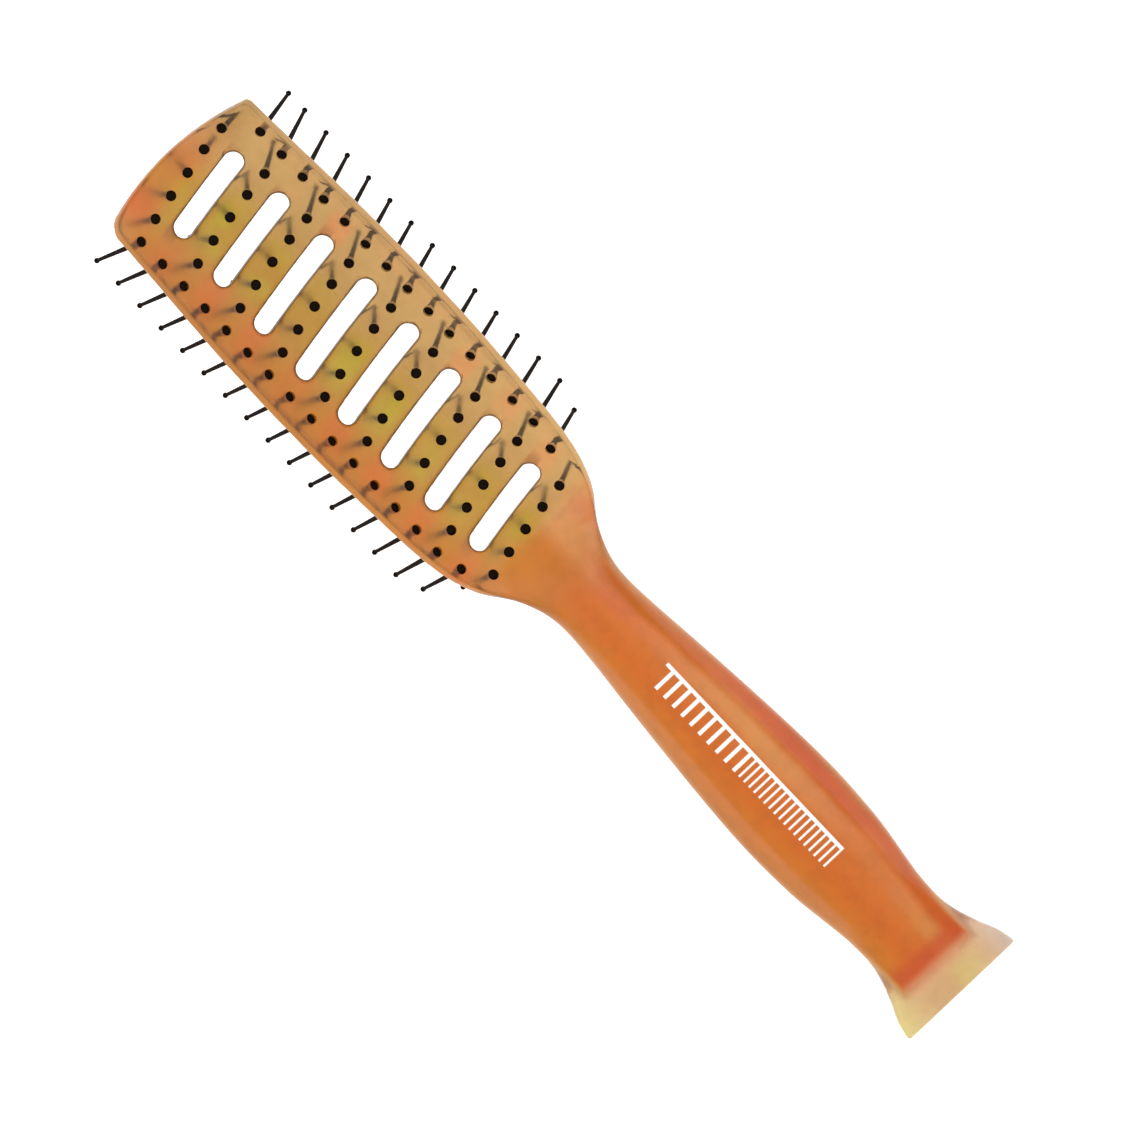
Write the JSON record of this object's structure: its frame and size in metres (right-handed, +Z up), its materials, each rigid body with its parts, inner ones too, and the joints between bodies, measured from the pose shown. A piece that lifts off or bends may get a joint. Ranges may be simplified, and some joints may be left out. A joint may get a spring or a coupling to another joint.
{
  "type": "vented hair styling brush",
  "caption": "Flat vented styling brush: a clear orange one-piece body with an arched, slotted head, slanted rows of thin black ball-tipped pins and a flared tail.",
  "frame": {"origin": "middle of the brush on the table, with the brush lying on its tail end and its pins, back up", "axes": "+X towards the tip of the head, +Y to the left seen from the handle, +Z up; the brush leans 7.7 degrees about Y, tip raised"},
  "size_m": [0.2191, 0.0492, 0.0419],
  "materials": {
    "body": "clear orange plastic, nearly colourless at the tail, satin",
    "pins": "black nylon, satin"
  },
  "bodies": {
    "root": {"brush_body": "body", "pin_row_1": "pins", "pin_row_2": "pins", "pin_row_3": "pins", "pin_row_4": "pins", "pin_row_5": "pins", "pin_row_6": "pins", "pin_row_7": "pins", "pin_row_8": "pins", "pin_row_9": "pins", "left_edge_pin_1": "pins", "left_edge_pin_2": "pins", "left_edge_pin_3": "pins", "left_edge_pin_4": "pins", "left_edge_pin_5": "pins", "left_edge_pin_6": "pins", "left_edge_pin_7": "pins", "left_edge_pin_8": "pins", "right_edge_pin_1": "pins", "right_edge_pin_2": "pins", "right_edge_pin_3": "pins", "right_edge_pin_4": "pins", "right_edge_pin_5": "pins", "right_edge_pin_6": "pins", "right_edge_pin_7": "pins", "right_edge_pin_8": "pins"}
  },
  "joints": []
}
